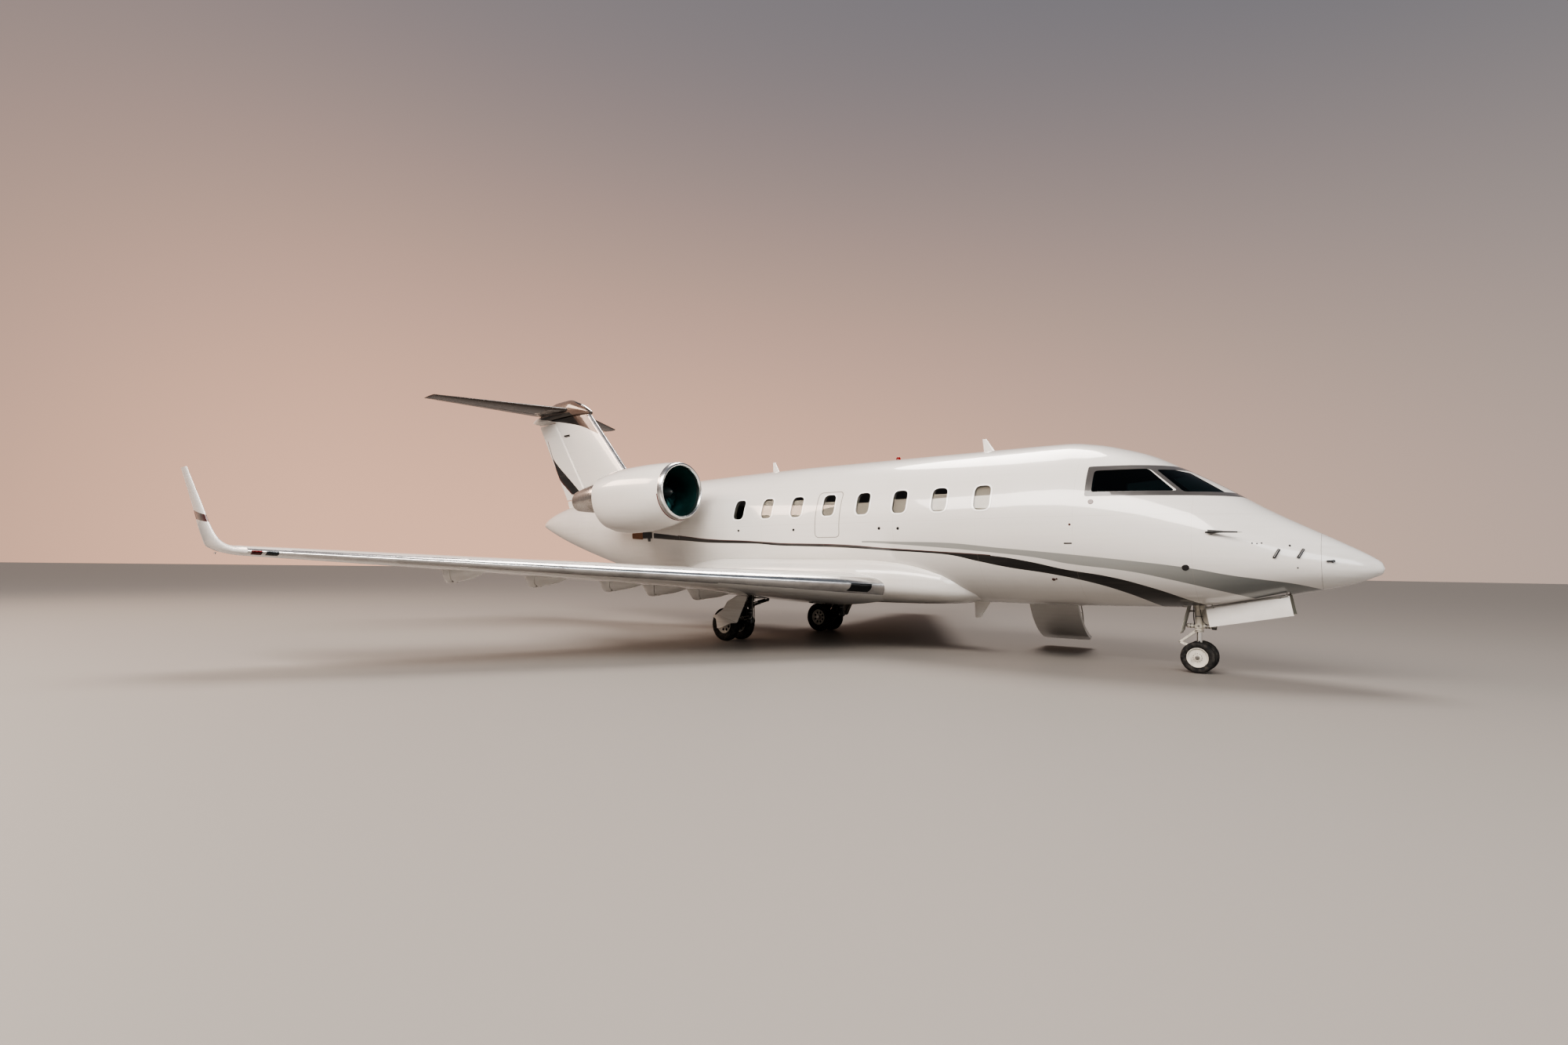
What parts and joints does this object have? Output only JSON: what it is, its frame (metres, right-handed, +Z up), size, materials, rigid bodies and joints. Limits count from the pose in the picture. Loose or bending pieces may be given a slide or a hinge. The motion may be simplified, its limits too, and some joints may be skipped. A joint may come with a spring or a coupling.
{
  "type": "business jet",
  "caption": "Swept-wing jet with a T-tail, rear-mounted turbofans, winglets and a let-down airstair, parked on twin-wheel gear.",
  "frame": {"origin": "on the ground below the middle of the aircraft's plan", "axes": "+X towards the nose, +Y to port, +Z up"},
  "size_m": [20.85, 19.6124, 6.3],
  "materials": {
    "white_paint": "gloss",
    "bronze_paint": "gloss",
    "polished_metal": "polished",
    "dark_metal": "satin",
    "glazing": "gloss",
    "tyre_rubber": "matte",
    "wheel_paint": "satin",
    "gear_paint": "satin",
    "dark_gear": "satin",
    "cabin_lining": "matte",
    "dark_plastic": "matte",
    "seat_leather": "satin"
  },
  "bodies": {
    "airframe": {"fuselage": "white_paint", "radome": "white_paint", "tail_section": "white_paint", "belly_fairing": "white_paint", "floor_and_bulkheads": "cabin_lining", "instrument_panel": "dark_plastic", "crew_seats": "seat_leather", "overwing_exit": "white_paint", "fin": "white_paint", "fin_cap": "bronze_paint", "stabiliser": "bronze_paint", "nose_leg": "gear_paint", "windshield_left": "glazing", "windshield_right": "glazing", "side_pane_left": "glazing", "side_pane_right": "glazing", "wing_left": "white_paint", "wing_right": "white_paint", "winglet_left": "white_paint", "winglet_right": "white_paint", "pylon_left": "white_paint", "pylon_right": "white_paint", "intake_lip_left": "polished_metal", "intake_lip_right": "polished_metal", "nacelle_left": "white_paint", "nacelle_right": "white_paint", "engine_core_left": "dark_metal", "engine_core_right": "dark_metal", "nozzle_left": "dark_metal", "nozzle_right": "dark_metal", "main_leg_left": "dark_gear", "main_leg_right": "dark_gear", "leg_door_left": "white_paint", "leg_door_right": "white_paint"},
    "nose_fork_body": {"nose_fork": "gear_paint"},
    "nose_wheels": {"nose_rims": "wheel_paint", "nose_tyre_outer": "tyre_rubber", "nose_tyre_inner": "tyre_rubber"},
    "airstair_body": {"airstair": "white_paint"},
    "rudder_body": {"rudder": "white_paint"},
    "main_wheels_left": {"main_left_tyre_outer": "tyre_rubber", "main_left_rim_outer": "wheel_paint", "main_left_tyre_inner": "tyre_rubber", "main_left_rim_inner": "wheel_paint"},
    "fan_body_left": {"fan_left": "polished_metal"},
    "nose_door_body_left": {"nose_door_left": "white_paint"},
    "aileron_body_left": {"aileron_left": "white_paint"},
    "flap_inboard_body_left": {"flap_inboard_left": "white_paint"},
    "flap_outboard_body_left": {"flap_outboard_left": "white_paint"},
    "elevator_body_left": {"elevator_left": "bronze_paint"},
    "main_wheels_right": {"main_right_tyre_outer": "tyre_rubber", "main_right_rim_outer": "wheel_paint", "main_right_tyre_inner": "tyre_rubber", "main_right_rim_inner": "wheel_paint"},
    "fan_body_right": {"fan_right": "polished_metal"},
    "nose_door_body_right": {"nose_door_right": "white_paint"},
    "aileron_body_right": {"aileron_right": "white_paint"},
    "flap_inboard_body_right": {"flap_inboard_right": "white_paint"},
    "flap_outboard_body_right": {"flap_outboard_right": "white_paint"},
    "elevator_body_right": {"elevator_right": "bronze_paint"}
  },
  "joints": [
    {"name": "nose_steering", "type": "hinge", "parent": "airframe", "child": "nose_fork_body", "pos_m": [8.265, 0, 0.6], "axis": [0, 0, 1], "range_deg": [-55, 55]},
    {"name": "nose_wheel_spin", "type": "hinge", "parent": "nose_fork_body", "child": "nose_wheels", "pos_m": [8.265, 0, 0.2285], "axis": [0, 1, 0], "continuous": true},
    {"name": "main_wheel_spin_left", "type": "hinge", "parent": "airframe", "child": "main_wheels_left", "pos_m": [0.265, 1.59, 0.325], "axis": [0, 1, 0], "continuous": true},
    {"name": "main_wheel_spin_right", "type": "hinge", "parent": "airframe", "child": "main_wheels_right", "pos_m": [0.265, -1.59, 0.325], "axis": [0, 1, 0], "continuous": true},
    {"name": "fan_spin_left", "type": "hinge", "parent": "airframe", "child": "fan_body_left", "pos_m": [-1.435, 2.15, 3.02], "axis": [1, 0, 0], "continuous": true},
    {"name": "fan_spin_right", "type": "hinge", "parent": "airframe", "child": "fan_body_right", "pos_m": [-1.435, -2.15, 3.02], "axis": [1, 0, 0], "continuous": true},
    {"name": "airstair_hinge", "type": "hinge", "parent": "airframe", "child": "airstair_body", "pos_m": [5.665, 1.17652, 1.56], "axis": [1, 0, 0], "range_deg": [0, 154]},
    {"name": "nose_door_hinge_left", "type": "hinge", "parent": "airframe", "child": "nose_door_body_left", "pos_m": [8.40933, 0.292, 0.97314], "axis": [0.9776, 0, 0.2107], "range_deg": [-88, 0]},
    {"name": "nose_door_hinge_right", "type": "hinge", "parent": "airframe", "child": "nose_door_body_right", "pos_m": [8.40933, -0.292, 0.97314], "axis": [0.9776, 0, 0.2107], "range_deg": [0, 88]},
    {"name": "rudder_hinge", "type": "hinge", "parent": "airframe", "child": "rudder_body", "pos_m": [-6.80281, 0, 3.33], "axis": [-0.6071, 0, 0.7946], "range_deg": [-25, 25]},
    {"name": "aileron_hinge_left", "type": "hinge", "parent": "airframe", "child": "aileron_body_left", "pos_m": [-1.18192, 7.26, 1.48552], "axis": [-0.336, 0.9403, 0.0543], "range_deg": [-20, 20]},
    {"name": "aileron_hinge_right", "type": "hinge", "parent": "airframe", "child": "aileron_body_right", "pos_m": [-1.18192, -7.26, 1.48552], "axis": [0.336, 0.9403, -0.0543], "range_deg": [-20, 20]},
    {"name": "elevator_hinge_left", "type": "hinge", "parent": "airframe", "child": "elevator_body_left", "pos_m": [-8.98546, 0.19, 5.9933], "axis": [-0.388, 0.9208, 0.0402], "range_deg": [-17, 23]},
    {"name": "elevator_hinge_right", "type": "hinge", "parent": "airframe", "child": "elevator_body_right", "pos_m": [-8.98546, -0.19, 5.9933], "axis": [0.388, 0.9208, -0.0402], "range_deg": [-17, 23]},
    {"name": "flap_inboard_hinge_left", "type": "hinge", "parent": "airframe", "child": "flap_inboard_body_left", "pos_m": [0.03275, 1.64, 0.79252], "axis": [0.1257, -0.9882, -0.0872], "range_deg": [0, 30]},
    {"name": "flap_inboard_hinge_right", "type": "hinge", "parent": "airframe", "child": "flap_inboard_body_right", "pos_m": [0.03275, -1.64, 0.79252], "axis": [-0.1257, -0.9882, 0.0872], "range_deg": [0, 30]},
    {"name": "flap_outboard_hinge_left", "type": "hinge", "parent": "airframe", "child": "flap_outboard_body_left", "pos_m": [0.09893, 3.905, 1.0122], "axis": [0.3424, -0.9378, -0.0583], "range_deg": [0, 30]},
    {"name": "flap_outboard_hinge_right", "type": "hinge", "parent": "airframe", "child": "flap_outboard_body_right", "pos_m": [0.09893, -3.905, 1.0122], "axis": [-0.3424, -0.9378, 0.0583], "range_deg": [0, 30]}
  ],
  "couplings": [
    {"joint": "aileron_hinge_right", "follows": "aileron_hinge_left", "ratio": -1},
    {"joint": "elevator_hinge_right", "follows": "elevator_hinge_left", "ratio": 1},
    {"joint": "flap_inboard_hinge_right", "follows": "flap_inboard_hinge_left", "ratio": 1},
    {"joint": "flap_outboard_hinge_left", "follows": "flap_inboard_hinge_left", "ratio": 1},
    {"joint": "flap_outboard_hinge_right", "follows": "flap_inboard_hinge_left", "ratio": 1}
  ]
}
